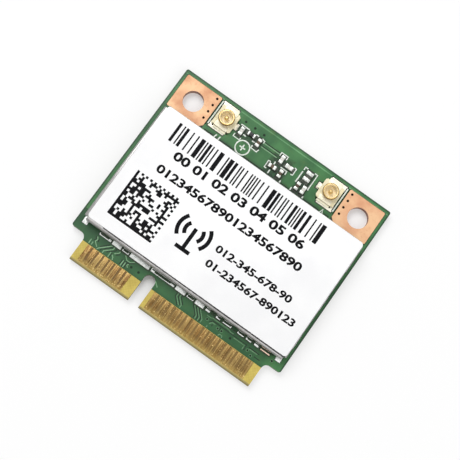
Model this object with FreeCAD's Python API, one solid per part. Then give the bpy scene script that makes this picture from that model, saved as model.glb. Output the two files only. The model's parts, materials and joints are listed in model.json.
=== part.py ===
import FreeCAD, Part
import math
import os

# A half-length mini card for a laptop's radio: a board with an edge connector, two screw lands,
# two antenna jacks and a sheet-metal shield over the radio. Lengths are in millimetres.
# The origin is under the middle of the card: +X along its width, +Y away from the contact edge.

# Board
card_width = 30.0
card_length = 26.8
shoulder_radius = 0.8
tongue_depth = 3.4
corner_radius = 0.25
laminate_thickness = 0.90
copper_thickness = 0.05
mask_thickness = 0.035
mask_gap = 0.05
mask_part_gap = 0.12
bevel_run = 0.30
bevel_drop = 0.20

# Edge contacts, in a short and a long row with the key slot between them
contact_pitch = 0.80
contact_width = 0.60
contact_length = 2.20
contact_setback = 0.40
short_row_count = 8
long_row_count = 18
short_row_margin = 0.85
long_row_margin = 1.05
short_row_key_gap = 1.35
long_row_key_gap = 0.55
key_width = 1.50
key_depth = 4.00

# Screw holes, the bare copper around them and the plated holes beside them
hole_radius = 1.30
hole_edge_distance = 2.90
pad_edge_gap = 0.50
pad_side_land = 1.35
pad_front_land = 0.90
pad_corner_cut = 0.12
pad_chamfer = 0.50
via_bore_radius = 0.13
via_plating = 0.03
via_side_count = 8
via_pitch = 0.95
via_count = 4
via_side_inset = 0.50
via_back_inset = 0.45

# Shield cover, a bent sheet whose skirts snap over the frame
shield_key_gap = 0.70
shield_pad_gap = 0.20
shield_left_gap = 0.73
shield_right_gap = 0.55
shield_headroom = 0.30
cover_sheet = 0.15
cover_bend_radius = 0.24
cover_skirt_lift = 0.45
cover_corner_notch = 0.42
bead_length = 1.20
bead_height = 0.34
bead_flat = 0.14
bead_depth = 0.08
bead_rise = 0.45
bead_spacing = 8.20

# Shield frame, soldered to rows of lands
frame_fit = 0.03
frame_sheet = 0.15
frame_corner_notch = 0.35
frame_flange = 1.10
frame_bridge = 2.20
frame_window_height = 0.30
frame_window_least = 0.25
frame_slot_clearance = 0.04
land_overlap = 0.12
land_shown_wide = 0.45
land_shown_narrow = 0.38
foot_length = 2.00
foot_pitch = 5.60
foot_land_reach = 0.15

# Lands along the front of the frame: distance from the cover's left side, length, how far they show
front_lands = (
    (0.05, 0.70, land_shown_narrow),
    (2.57, 1.65, land_shown_narrow),
    (4.42, 1.25, land_shown_wide),
    (5.87, 0.90, land_shown_narrow),
    (6.97, 2.75, land_shown_wide),
    (9.97, 3.35, land_shown_narrow),
    (13.52, 1.40, land_shown_wide),
    (15.17, 0.95, land_shown_narrow),
    (16.37, 1.20, land_shown_wide),
    (17.87, 0.60, land_shown_narrow),
    (19.37, 0.60, land_shown_narrow),
    (20.37, 1.20, land_shown_narrow),
    (22.47, 0.90, land_shown_narrow),
    (23.67, 0.80, land_shown_narrow),
    (24.87, 0.60, land_shown_narrow),
    (25.77, 1.30, land_shown_narrow),
    (27.85, 0.70, land_shown_narrow),
)

# Paper label on the cover
label_thickness = 0.08
label_corner_radius = 0.40
label_left_margin = 0.35
label_right_margin = 0.10
label_front_margin = 0.44
label_back_margin = 0.09

# Antenna jacks
jack_back_distance = 2.40
jack_pad_gap = 0.40
jack_base_size = 2.60
jack_base_height = 0.35
jack_base_chamfer = 0.20
jack_ring_radius = 1.00
jack_ring_wall = 0.25
jack_neck_wall = 0.09
jack_neck_height = 0.30
jack_ring_lip = 0.06
jack_height = 1.25
jack_pin_radius = 0.25
jack_pin_height = 1.05
jack_pin_tip = 0.12
jack_tab_width = 1.75
jack_tab_sheet = 0.10
jack_tab_foot = 0.22
jack_tail_width = 0.60
jack_tail_sheet = 0.12
jack_tail_reach = 0.30
jack_land_length = 2.20
jack_land_outset = 0.15
jack_land_reach = 0.55
jack_signal_width = 0.85
jack_signal_reach = 0.45

# Chip parts between the jacks
chip_length = 1.00
chip_width = 0.50
chip_height = 0.40
filter_length = 1.25
filter_width = 0.90
filter_height = 0.50
chip_cap_band = 0.32
resistor_cap_band = 0.22
filter_cap_band = 0.42
cap_plating = 0.02
solder_height = 0.18
land_margin = 0.20
land_under = 0.25
chip_gap = 0.30
filter_gap = 1.00
pair_spacing = 0.86
middle_chip_shift = 0.65
lower_chip_shift = 0.20
upper_row_drop = 0.10
resistor_row_rise = 0.22
beside_row_drop = 0.38
lower_row_drop = 1.65
lower_lying_drop = 1.48

# Radio chip, with contact lands on its four sides and under its middle
radio_side_count = 10
radio_terminal_pitch = 0.50
radio_terminal_width = 0.25
radio_terminal_length = 0.40
radio_terminal_thickness = 0.20
radio_corner_margin = 0.625
radio_height = 0.85
radio_heat_land = 4.00
radio_land_reach = 0.20

# Other parts under the shield
crystal_length = 3.20
crystal_width = 2.50
crystal_base_height = 0.45
crystal_lid_inset = 0.20
crystal_lid_height = 0.25
crystal_land_size = 0.90
memory_length = 3.00
memory_width = 4.40
memory_height = 0.90
memory_side_count = 4
memory_lead_pitch = 0.65
memory_lead_width = 0.24
memory_lead_reach = 1.00
regulator_length = 2.90
regulator_width = 1.60
regulator_height = 1.05
regulator_lead_pitch = 0.95
regulator_lead_width = 0.40
regulator_lead_reach = 0.60
lead_thickness = 0.12
lead_foot = 0.35
lead_shoulder = 0.20
body_lift = 0.10
body_draft = 0.12
coil_length = 2.50
coil_width = 2.00
coil_height = 1.00
coil_band = 0.50
inner_gap = 0.60
inner_row_pitch = 1.60
inner_row_count = 3
inner_filter_spacing = 4.40
outer_row_offset = 2.60

# Sizes that follow from the ones above
short_row_span = (short_row_count - 1) * contact_pitch + contact_width
long_row_span = (long_row_count - 1) * contact_pitch + contact_width
short_side_width = short_row_margin + short_row_span + short_row_key_gap
long_side_width = long_row_key_gap + long_row_span + long_row_margin
tongue_width = short_side_width + key_width + long_side_width
shoulder_inset = (card_width - tongue_width) / 2

left = -card_width / 2
right = card_width / 2
front = -card_length / 2
back = card_length / 2
tongue_left = left + shoulder_inset
tongue_right = right - shoulder_inset
key_left = tongue_left + short_side_width
key_right = key_left + key_width
mask_front = front + contact_setback + contact_length + mask_gap

laminate_bottom = copper_thickness
laminate_top = laminate_bottom + laminate_thickness
board_top = laminate_top + copper_thickness

hole_x = right - hole_edge_distance
hole_y = back - hole_edge_distance
pad_inner = hole_x - hole_radius - pad_side_land
pad_outer = right - pad_edge_gap
pad_front = hole_y - hole_radius - pad_front_land
pad_back = back - pad_edge_gap

inner_height = max(radio_height, body_lift + regulator_height, body_lift + memory_height, coil_height)
cover_left = left + shield_left_gap
cover_right = right - shield_right_gap
cover_front = front + key_depth + shield_key_gap
cover_back = pad_front - shield_pad_gap
cover_width = cover_right - cover_left
cover_depth = cover_back - cover_front
cover_bottom = board_top + cover_skirt_lift
cover_top = board_top + inner_height + shield_headroom + cover_sheet
shield_x = (cover_left + cover_right) / 2
shield_y = (cover_front + cover_back) / 2
frame_inset = cover_sheet + frame_fit
frame_top = cover_top - cover_sheet

jack_half = jack_base_size / 2
jack_x = pad_inner - jack_pad_gap - jack_half - jack_land_outset
jack_y = back - jack_back_distance
signal_end = jack_half + jack_signal_reach

radio_span = (radio_side_count - 1) * radio_terminal_pitch + radio_terminal_width
radio_size = radio_span + 2 * radio_corner_margin
chip_size = (chip_length, chip_width, chip_height)
filter_size = (filter_length, filter_width, filter_height)
coil_size = (coil_length, coil_width, coil_height)

origin = FreeCAD.Vector(0, 0, 0)
x_direction = FreeCAD.Vector(1, 0, 0)
z_direction = FreeCAD.Vector(0, 0, 1)
same_place = 1e-6


# Shapes that several pieces share

def box(x0, y0, z0, x1, y1, z1):
    return Part.makeBox(x1 - x0, y1 - y0, z1 - z0, FreeCAD.Vector(x0, y0, z0))


def block(x, y, z, length, width, height):
    return box(x - length / 2, y - width / 2, z, x + length / 2, y + width / 2, z + height)


def rod(x, y, z, radius, height):
    return Part.makeCylinder(radius, height, FreeCAD.Vector(x, y, z), z_direction)


def rounded_face(corners):
    # Each corner is x, y and the radius of its rounding, 0 for a sharp one.
    points = [FreeCAD.Vector(x, y, 0) for x, y, radius in corners]
    stretches = []
    for index, point in enumerate(points):
        radius = corners[index][2]
        if radius == 0:
            stretches.append((point, None, point))
            continue
        back_way = (points[index - 1] - point).normalize()
        on_way = (points[(index + 1) % len(points)] - point).normalize()
        half_angle = back_way.getAngle(on_way) / 2
        reach = radius / math.tan(half_angle)
        inward = (back_way + on_way).normalize()
        middle = point + inward * (radius / math.sin(half_angle) - radius)
        stretches.append((point + back_way * reach, middle, point + on_way * reach))
    edges = []
    for index, (start, middle, end) in enumerate(stretches):
        if middle is not None:
            edges.append(Part.Arc(start, middle, end).toShape())
        following = stretches[(index + 1) % len(stretches)][0]
        if end.distanceToPoint(following) > same_place:
            edges.append(Part.LineSegment(end, following).toShape())
    return Part.Face(Part.Wire(edges))


def rectangle(x0, y0, x1, y1, radius):
    return [(x0, y0, radius), (x1, y0, radius), (x1, y1, radius), (x0, y1, radius)]


def plate(corners, z, thickness):
    shape = rounded_face(corners).extrude(z_direction * thickness)
    shape.translate(z_direction * z)
    return shape


def bar(corners, width):
    # A side profile of x and z, drawn out to a width centred on y = 0.
    shape = plate(corners, -width / 2, width)
    shape.rotate(origin, x_direction, 90)
    return shape


def turned(corners):
    # A section of radius and height, turned about the Z axis.
    face = rounded_face(corners)
    face.rotate(origin, x_direction, 90)
    return face.revolve(origin, z_direction, 360)


def placed(shapes, x, y, z, angle):
    moved = []
    for shape in shapes:
        shape = shape.copy()
        shape.rotate(origin, z_direction, angle)
        shape.translate(FreeCAD.Vector(x, y, z))
        moved.append(shape)
    return moved


def placed_rects(rects, x, y, angle):
    # Rectangles turned by quarter turns about the origin and then moved.
    cosine = round(math.cos(math.radians(angle)))
    sine = round(math.sin(math.radians(angle)))
    moved = []
    for x0, y0, x1, y1 in rects:
        xs = sorted((x0 * cosine - y0 * sine, x1 * cosine - y1 * sine))
        ys = sorted((x0 * sine + y0 * cosine, x1 * sine + y1 * cosine))
        moved.append((x + xs[0], y + ys[0], x + xs[1], y + ys[1]))
    return moved


def mirrored(shape):
    return shape.mirror(origin, x_direction)


def lands(rects):
    return [box(x0, y0, laminate_top, x1, y1, board_top) for x0, y0, x1, y1 in rects]


def around(rects):
    # One rectangle round a row of lands.
    starts_x, starts_y, ends_x, ends_y = zip(*rects)
    return (min(starts_x), min(starts_y), max(ends_x), max(ends_y))


def grown(rects, gap):
    return [(x0 - gap, y0 - gap, x1 + gap, y1 + gap) for x0, y0, x1, y1 in rects]


def solder_bead(width, height):
    # A sloping fillet of solder against an end face at x = 0.
    return bar([(0, 0, 0), (height, 0, 0), (0, height, 0)], width)


# Board, its mask skins and its copper

def board_outline():
    shoulder = front + tongue_depth
    fillet = min(shoulder_radius, shoulder_inset - corner_radius)
    key_end = front + key_depth
    return [
        (tongue_left, front, 0),
        (key_left, front, 0),
        (key_left, key_end, key_width / 2),
        (key_right, key_end, key_width / 2),
        (key_right, front, 0),
        (tongue_right, front, 0),
        (tongue_right, shoulder, fillet),
        (right, shoulder, corner_radius),
        (right, back, corner_radius),
        (left, back, corner_radius),
        (left, shoulder, corner_radius),
        (tongue_left, shoulder, fillet),
    ]


def via_places(side):
    x = side * (pad_inner + via_side_inset)
    first = pad_back - via_back_inset
    return [(x, first - step * via_pitch) for step in range(via_count)]


def via_rod(x, y, z, radius, height):
    # So fine a hole has a few flat sides.
    turns = [2 * math.pi * side / via_side_count for side in range(via_side_count)]
    corners = [(x + radius * math.cos(turn), y + radius * math.sin(turn), 0) for turn in turns]
    return plate(corners, z, height)


def via_rods(side, radius):
    return [via_rod(x, y, 0, radius, board_top) for x, y in via_places(side)]


def circuit_board():
    board = plate(board_outline(), laminate_bottom, laminate_thickness)
    lower = laminate_bottom + bevel_drop
    upper = laminate_top - bevel_drop
    inner = front + bevel_run
    bevels = (
        [(front, laminate_top, 0), (front, upper, 0), (inner, laminate_top, 0)],
        [(front, laminate_bottom, 0), (inner, laminate_bottom, 0), (front, lower, 0)],
    )
    cuts = []
    for bevel in bevels:
        cuts += placed([bar(bevel, tongue_width)], 0, 0, 0, 90)
    for side in (-1, 1):
        cuts.append(rod(side * hole_x, hole_y, 0, hole_radius, board_top))
        cuts += via_rods(side, via_bore_radius + via_plating)
    return board.cut(cuts)


def ground_pad(z):
    pad = plate(
        [
            (pad_inner + pad_chamfer, pad_front, 0),
            (pad_outer - pad_corner_cut, pad_front, 0),
            (pad_outer, pad_front + pad_corner_cut, 0),
            (pad_outer, pad_back - pad_corner_cut, 0),
            (pad_outer - pad_corner_cut, pad_back, 0),
            (pad_inner + pad_corner_cut, pad_back, 0),
            (pad_inner, pad_back - pad_corner_cut, 0),
            (pad_inner, pad_front + pad_chamfer, 0),
        ],
        z,
        copper_thickness,
    )
    return pad.cut([rod(hole_x, hole_y, 0, hole_radius, board_top)] + via_rods(1, via_bore_radius))


def ground_vias():
    barrels = []
    for x, y in via_places(-1) + via_places(1):
        barrel = via_rod(x, y, laminate_bottom, via_bore_radius + via_plating, laminate_thickness)
        barrels.append(barrel.cut(via_rod(x, y, 0, via_bore_radius, board_top)))
    return barrels


def contact_row(first, count, z):
    start = front + contact_setback
    row = []
    for number in range(count):
        x = first + number * contact_pitch
        row.append(box(x, start, z, x + contact_width, start + contact_length, z + copper_thickness))
    return row


def solder_mask(z, openings):
    pad_rects = [(pad_inner, pad_front, pad_outer, pad_back), (-pad_outer, pad_front, -pad_inner, pad_back)]
    cuts = []
    for x0, y0, x1, y1 in [(left, front, right, mask_front)] + grown(pad_rects, mask_gap) + openings:
        cuts.append(box(x0, y0, z, x1, y1, z + mask_thickness))
    return plate(board_outline(), z, mask_thickness).cut(cuts)


# Shield frame, cover and label

def front_feet():
    return [foot for foot in front_lands if foot[0] + foot[1] < cover_width]


def even_feet(length):
    # Feet at an even pitch, centred on a wall.
    count = max(2, int(length // foot_pitch))
    first = (length - (count - 1) * foot_pitch - foot_length) / 2
    return [(first + number * foot_pitch, foot_length, foot_land_reach) for number in range(count)]


def windows_between(feet):
    # Stretches of a wall's lower edge between its feet.
    gaps = []
    for (start, length, shown), (following, *rest) in zip(feet, feet[1:]):
        if following - start - length > frame_window_least:
            gaps.append((start + length, following))
    return gaps


def shield_land_rects():
    under = frame_inset + frame_sheet + land_overlap
    rects = []
    for start, length, shown in front_feet():
        x = cover_left + start
        rects.append((x, cover_front - shown, x + length, cover_front + under))
    for start, length, shown in even_feet(cover_width):
        x = cover_left + start
        rects.append((x, cover_back - under, x + length, cover_back))
    for start, length, shown in even_feet(cover_depth):
        y = cover_front + start
        rects.append((cover_left - shown, y, cover_left + under, y + length))
        rects.append((cover_right - under, y, cover_right + shown, y + length))
    return rects


def bead_places():
    # Where each snap bead lies on the cover's outer faces, and which way it is pressed in.
    places = []
    for step in (-1, 0, 1):
        x = shield_x + step * bead_spacing
        places += [(x, cover_front, 90), (x, cover_back, 270)]
    for step in (-0.5, 0.5):
        y = shield_y + step * bead_spacing
        places += [(cover_left, y, 0), (cover_right, y, 180)]
    return places


def at_beads(shape):
    shapes = []
    for x, y, angle in bead_places():
        shapes += placed([shape], x, y, cover_bottom + bead_rise, angle)
    return shapes


def bent_tray(inset, bottom, top, bend):
    tray = box(cover_left + inset, cover_front + inset, bottom, cover_right - inset, cover_back - inset, top)
    rim = [edge for edge in tray.Edges if edge.BoundBox.ZMin > top - same_place]
    return tray.makeFillet(bend, rim)


def bent_sheet(inset, sheet, bottom, top, notch):
    # A sheet bent down on four sides, with its corners notched out for the bends.
    cuts = [bent_tray(inset + sheet, bottom, top - sheet, cover_bend_radius - sheet)]
    for x in (cover_left + inset, cover_right - inset - notch):
        for y in (cover_front + inset, cover_back - inset - notch):
            cuts.append(box(x, y, bottom, x + notch, y + notch, top))
    return bent_tray(inset, bottom, top, cover_bend_radius).cut(cuts)


def shield_frame():
    x0 = cover_left + frame_inset
    x1 = cover_right - frame_inset
    y0 = cover_front + frame_inset
    y1 = cover_back - frame_inset
    frame = bent_sheet(frame_inset, frame_sheet, board_top, frame_top, frame_corner_notch)
    half_slot = bead_length / 2 + frame_slot_clearance
    slot_rise = bead_height / 2 + frame_slot_clearance
    cuts = at_beads(box(0, -half_slot, -slot_rise, frame_inset + frame_sheet, half_slot, slot_rise))
    bridge_left = shield_x - frame_bridge / 2
    bridge_right = shield_x + frame_bridge / 2
    for first, last in ((x0 + frame_flange, bridge_left), (bridge_right, x1 - frame_flange)):
        cuts.append(box(first, y0 + frame_flange, board_top, last, y1 - frame_flange, frame_top))
    sill = board_top + frame_window_height
    for start, end in windows_between(front_feet()):
        cuts.append(box(cover_left + start, y0, board_top, cover_left + end, y0 + frame_sheet, sill))
    for start, end in windows_between(even_feet(cover_width)):
        cuts.append(box(cover_left + start, y1 - frame_sheet, board_top, cover_left + end, y1, sill))
    for start, end in windows_between(even_feet(cover_depth)):
        cuts.append(box(x0, cover_front + start, board_top, x0 + frame_sheet, cover_front + end, sill))
        cuts.append(box(x1 - frame_sheet, cover_front + start, board_top, x1, cover_front + end, sill))
    return frame.cut(cuts)


def shield_cover():
    # Each bead is pressed in: a groove outside and a ridge inside that snaps into the frame's slot.
    cover = bent_sheet(0, cover_sheet, cover_bottom, cover_top, cover_corner_notch)
    section = [
        (0, -bead_height / 2, 0),
        (bead_depth, -bead_flat / 2, 0),
        (bead_depth, bead_flat / 2, 0),
        (0, bead_height / 2, 0),
    ]
    groove = bar(section, bead_length)
    ridges = at_beads(groove.translated(x_direction * cover_sheet))
    return cover.fuse(ridges).cut(at_beads(groove)).removeSplitter()


def label():
    outline = rectangle(cover_left + label_left_margin, cover_front + label_front_margin,
                        cover_right - label_right_margin, cover_back - label_back_margin,
                        label_corner_radius)
    return plate(outline, cover_top, label_thickness)


# Antenna jacks, made at the origin with the signal tail towards +X

def jack_tail():
    end = jack_half + jack_tail_reach
    return box(-jack_pin_radius, -jack_tail_width / 2, 0, end, jack_tail_width / 2, jack_tail_sheet)


def jack_pin():
    pin = turned([
        (0, 0, 0),
        (jack_pin_radius, 0, 0),
        (jack_pin_radius, jack_pin_height - jack_pin_tip, 0),
        (jack_pin_radius - jack_pin_tip, jack_pin_height, 0),
        (0, jack_pin_height, 0),
    ])
    return pin.fuse(jack_tail()).removeSplitter()


def jack_base():
    half = jack_half
    cut = half - jack_base_chamfer
    outline = [
        (-half, -half, 0),
        (cut, -half, 0),
        (half, -cut, 0),
        (half, cut, 0),
        (cut, half, 0),
        (-half, half, 0),
    ]
    base = plate(outline, 0, jack_base_height)
    return base.cut([jack_tail(), rod(0, 0, 0, jack_pin_radius, jack_base_height)])


def jack_shell():
    inner = jack_ring_radius - jack_ring_wall
    neck = inner + jack_neck_wall
    neck_top = jack_base_height + jack_neck_height
    shell = turned([
        (inner, jack_base_height, 0),
        (neck, jack_base_height, 0),
        (neck, neck_top, 0),
        (jack_ring_radius, neck_top + jack_ring_radius - neck, 0),
        (jack_ring_radius, jack_height - jack_ring_lip, 0),
        (jack_ring_radius - jack_ring_lip, jack_height, 0),
        (inner + jack_ring_lip, jack_height, 0),
        (inner, jack_height - jack_ring_lip, 0),
    ])
    side = jack_half + jack_tab_sheet
    shoulder = jack_base_height + jack_tab_sheet
    strap = bar(
        [
            (inner, jack_base_height, 0),
            (jack_half, jack_base_height, 0),
            (jack_half, 0, 0),
            (side + jack_tab_foot, 0, 0),
            (side + jack_tab_foot, jack_tab_sheet, 0),
            (side, jack_tab_sheet, 0),
            (side, shoulder, 0),
            (inner, shoulder, 0),
        ],
        jack_tab_width,
    )
    strap = strap.cut(rod(0, 0, 0, inner, jack_height))
    return shell.fuse(placed([strap], 0, 0, 0, 90) + placed([strap], 0, 0, 0, 270)).removeSplitter()


def jack_land_rects():
    outer = -jack_half - jack_land_outset
    near = jack_half - land_under
    far = jack_half + jack_land_reach
    half = jack_signal_width / 2
    return [
        (outer, -far, outer + jack_land_length, -near),
        (outer, near, outer + jack_land_length, far),
        (near, -half, signal_end, half),
    ]


def jack_solder():
    foot_end = jack_half + jack_tab_sheet + jack_tab_foot
    tab_bead = solder_bead(jack_tab_width, jack_tab_sheet)
    tail_bead = solder_bead(jack_tail_width, jack_tail_sheet)
    beads = placed([tab_bead], 0, -foot_end, 0, -90)
    beads += placed([tab_bead], 0, foot_end, 0, 90)
    beads += placed([tail_bead], jack_half + jack_tail_reach, 0, 0, 0)
    joints = []
    for (x0, y0, x1, y1), bead in zip(jack_land_rects(), beads):
        joints.append(box(x0, y0, -copper_thickness, x1, y1, 0).fuse(bead))
    return joints


# Chip parts, made at the origin with their length along X

def chip_body(size):
    length, width, height = [value - 2 * cap_plating for value in size]
    return block(0, 0, cap_plating, length, width, height)


def chip_caps(size, band):
    length, width, height = size
    caps = []
    for side in (-1, 1):
        cap = block(side * (length - band) / 2, 0, 0, band, width, height)
        caps.append(cap.cut(chip_body(size)))
    return caps


def chip_land_rects(size):
    length, width, height = size
    near = length / 2 - land_under
    far = length / 2 + land_margin
    return [(-far, -width / 2, -near, width / 2), (near, -width / 2, far, width / 2)]


def chip_solder(size):
    length, width, height = size
    bead = solder_bead(width, solder_height)
    beads = placed([bead], -length / 2, 0, 0, 180) + placed([bead], length / 2, 0, 0, 0)
    joints = []
    for (x0, y0, x1, y1), bead in zip(chip_land_rects(size), beads):
        joints.append(box(x0, y0, -copper_thickness, x1, y1, 0).fuse(bead))
    return joints


def strip_chips():
    # Node, size, length of the plated ends, place and turn of each chip between the two jacks.
    lying = chip_length / 2 + land_margin
    standing = chip_width / 2
    first_x = -jack_x + signal_end + chip_gap + standing
    second_x = first_x + standing + chip_gap + lying
    third_x = second_x + lying + chip_gap + standing
    beside_x = middle_chip_shift + standing + chip_gap + lying
    lower_side_x = lower_chip_shift + lying + chip_gap + standing
    filter_x = jack_x - signal_end - filter_gap - filter_width / 2
    upper_y = jack_y - upper_row_drop
    lower_y = jack_y - lower_row_drop
    return [
        ("chip_inductors", chip_size, chip_cap_band, first_x, upper_y, 90),
        ("chip_resistor", chip_size, resistor_cap_band, second_x, jack_y + resistor_row_rise, 0),
        ("chip_capacitors", chip_size, chip_cap_band, third_x, upper_y, 90),
        ("chip_inductors", chip_size, chip_cap_band, middle_chip_shift, upper_y, 90),
        ("chip_inductors", chip_size, chip_cap_band, beside_x, jack_y - beside_row_drop, 0),
        ("chip_capacitors", chip_size, chip_cap_band, lower_chip_shift, jack_y - lower_lying_drop, 0),
        ("chip_capacitors", chip_size, chip_cap_band, lower_side_x, lower_y, 90),
        ("band_filter", filter_size, filter_cap_band, filter_x, jack_y, 90),
        ("chip_capacitors", chip_size, chip_cap_band, filter_x - pair_spacing / 2, lower_y, 90),
        ("chip_inductors", chip_size, chip_cap_band, filter_x + pair_spacing / 2, lower_y, 90),
    ]


# Parts under the shield, made at the origin

def moulded_body(length, width, height):
    # A body whose four sides lean in above and below its parting line.
    middle = body_lift + height / 2
    draft = min(body_draft, width / 4)
    waist = Part.makePolygon([
        FreeCAD.Vector(x * length / 2, y * width / 2, middle)
        for x, y in ((-1, -1), (1, -1), (1, 1), (-1, 1), (-1, -1))
    ])
    halves = []
    for z in (body_lift, body_lift + height):
        end = Part.makePolygon([
            FreeCAD.Vector(x * (length / 2 - draft), y * (width / 2 - draft), z)
            for x, y in ((-1, -1), (1, -1), (1, 1), (-1, 1), (-1, -1))
        ])
        halves.append(Part.makeLoft([end, waist], True, True))
    return halves[0].fuse(halves[1])


def gull_leads(body_width, body_height, lead_width, reach, places):
    # Bent leads on the two sides of a moulded body, one for each side and y.
    toe = body_width / 2 + reach
    knee = toe - lead_foot
    root = body_width / 2
    shoulder = root + lead_shoulder
    lower = body_lift + (body_height - lead_thickness) / 2
    upper = lower + lead_thickness
    lead = bar(
        [
            (toe, 0, 0),
            (toe, lead_thickness, 0),
            (knee, lead_thickness, 0),
            (shoulder, upper, 0),
            (root, upper, 0),
            (root, lower, 0),
            (shoulder - lead_thickness, lower, 0),
            (knee - lead_thickness, 0, 0),
        ],
        lead_width,
    )
    leads = []
    for side, y in places:
        leads += placed([lead if side > 0 else mirrored(lead)], 0, y, 0, 0)
    return leads


def lead_land_rows(body_width, lead_width, reach, places):
    toe = body_width / 2 + reach
    rows = {-1: [], 1: []}
    for side, y in places:
        xs = sorted((side * (toe - lead_foot), side * (toe + land_overlap)))
        rows[side].append((xs[0], y - lead_width / 2, xs[1], y + lead_width / 2))
    return list(rows.values())


def memory_lead_places():
    middle = (memory_side_count - 1) / 2
    steps = [(number - middle) * memory_lead_pitch for number in range(memory_side_count)]
    return [(side, y) for side in (-1, 1) for y in steps]


def regulator_lead_places():
    pitch = regulator_lead_pitch
    return [(1, -pitch), (1, 0), (1, pitch), (-1, -pitch), (-1, pitch)]


def radio_terminal_rows(reach):
    # The middle land, then the rows of lands on the four sides.
    half = radio_size / 2
    first = -(radio_side_count - 1) * radio_terminal_pitch / 2
    side_row = []
    for number in range(radio_side_count):
        y = first + number * radio_terminal_pitch
        side_row.append((half - radio_terminal_length, y - radio_terminal_width / 2,
                         half + reach, y + radio_terminal_width / 2))
    heat = radio_heat_land / 2
    rows = [[(-heat, -heat, heat, heat)]]
    for angle in (0, 90, 180, 270):
        rows.append(placed_rects(side_row, 0, 0, angle))
    return rows


def radio_terminals():
    terminals = []
    for row in radio_terminal_rows(0):
        terminals += [box(x0, y0, 0, x1, y1, radio_terminal_thickness) for x0, y0, x1, y1 in row]
    return terminals


def radio_chip():
    return block(0, 0, 0, radio_size, radio_size, radio_height).cut(radio_terminals())


def crystal_land_rects():
    rects = []
    inset = crystal_land_size / 2
    for x in (-crystal_length / 2 + inset, crystal_length / 2 - inset):
        for y in (-crystal_width / 2 + inset, crystal_width / 2 - inset):
            rects.append((x - inset, y - inset, x + inset, y + inset))
    return rects


def inner_chip_places():
    # Capacitors in rows on three sides of the radio chip, each pointing at it.
    beside = radio_size / 2 + inner_gap + chip_length / 2
    middle = (inner_row_count - 1) / 2
    steps = [(number - middle) * inner_row_pitch for number in range(inner_row_count)]
    places = [(shield_x - beside, shield_y + step, 0) for step in steps]
    places += [(shield_x + beside, shield_y + step, 0) for step in steps]
    places += [(shield_x + step, shield_y - beside, 90) for step in steps]
    return places


# The whole card: solids by node, the openings of the top mask and, under the shield, the rows of lands
# that share one opening each

pieces = {
    "circuit_board": [circuit_board()],
    "ground_vias": ground_vias(),
    "shield_solder": lands(shield_land_rects()),
    "shield_frame": [shield_frame()],
    "shield_cover": [shield_cover()],
    "label": [label()],
}
openings = grown(shield_land_rects(), mask_gap)

for level, z in (("top", laminate_top), ("bottom", 0)):
    pieces["right_ground_pad_" + level] = [ground_pad(z)]
    pieces["left_ground_pad_" + level] = [mirrored(ground_pad(z))]
    pieces["short_contacts_" + level] = contact_row(tongue_left + short_row_margin, short_row_count, z)
    pieces["long_contacts_" + level] = contact_row(key_right + long_row_key_gap, long_row_count, z)

pieces["jack_solder"] = []
for side, x, angle in (("left", -jack_x, 0), ("right", jack_x, 180)):
    pieces[side + "_jack_base"] = placed([jack_base()], x, jack_y, board_top, angle)
    pieces[side + "_jack_shell"] = placed([jack_shell()], x, jack_y, board_top, angle)
    pieces[side + "_jack_pin"] = placed([jack_pin()], x, jack_y, board_top, angle)
    pieces["jack_solder"] += placed(jack_solder(), x, jack_y, board_top, angle)
    openings += grown(placed_rects(jack_land_rects(), x, jack_y, angle), mask_part_gap)

pieces["chip_end_caps"] = []
pieces["chip_solder"] = []
for node, size, band, x, y, angle in strip_chips():
    pieces.setdefault(node, []).extend(placed([chip_body(size)], x, y, board_top, angle))
    pieces["chip_end_caps"] += placed(chip_caps(size, band), x, y, board_top, angle)
    pieces["chip_solder"] += placed(chip_solder(size), x, y, board_top, angle)
    openings += grown(placed_rects(chip_land_rects(size), x, y, angle), mask_part_gap)

inner_rows = []
for row in radio_terminal_rows(radio_land_reach):
    inner_rows.append(placed_rects(row, shield_x, shield_y, 0))
pieces["radio_chip"] = placed([radio_chip()], shield_x, shield_y, board_top, 0)
pieces["radio_chip_terminals"] = placed(radio_terminals(), shield_x, shield_y, board_top, 0)

pieces["inner_capacitors"] = []
pieces["inner_chip_caps"] = []
for x, y, angle in inner_chip_places():
    pieces["inner_capacitors"] += placed([chip_body(chip_size)], x, y, board_top, angle)
    pieces["inner_chip_caps"] += placed(chip_caps(chip_size, chip_cap_band), x, y, board_top, angle)
    inner_rows.append(placed_rects(chip_land_rects(chip_size), x, y, angle))

pieces["inner_filters"] = []
filter_y = shield_y + radio_size / 2 + inner_gap + filter_length / 2
for x in (shield_x - inner_filter_spacing / 2, shield_x + inner_filter_spacing / 2):
    pieces["inner_filters"] += placed([chip_body(filter_size)], x, filter_y, board_top, 90)
    pieces["inner_chip_caps"] += placed(chip_caps(filter_size, filter_cap_band), x, filter_y, board_top, 90)
    inner_rows.append(placed_rects(chip_land_rects(filter_size), x, filter_y, 90))

outer_row_start = radio_size / 2 + inner_gap + chip_length + land_margin + inner_gap
upper_row_y = shield_y + outer_row_offset
lower_row_y = shield_y - outer_row_offset

crystal_x = shield_x - outer_row_start - crystal_length / 2
crystal_base = block(0, 0, 0, crystal_length, crystal_width, crystal_base_height)
crystal_lid = block(0, 0, crystal_base_height, crystal_length - 2 * crystal_lid_inset,
                    crystal_width - 2 * crystal_lid_inset, crystal_lid_height)
pieces["crystal_base"] = placed([crystal_base], crystal_x, upper_row_y, board_top, 0)
pieces["crystal_lid"] = placed([crystal_lid], crystal_x, upper_row_y, board_top, 0)
inner_rows.append(placed_rects(crystal_land_rects(), crystal_x, upper_row_y, 0))

coil_x = shield_x - outer_row_start - land_margin - coil_length / 2
pieces["power_coil"] = placed([chip_body(coil_size)], coil_x, lower_row_y, board_top, 0)
pieces["power_coil_bands"] = placed(chip_caps(coil_size, coil_band), coil_x, lower_row_y, board_top, 0)
inner_rows.append(placed_rects(chip_land_rects(coil_size), coil_x, lower_row_y, 0))

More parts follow.
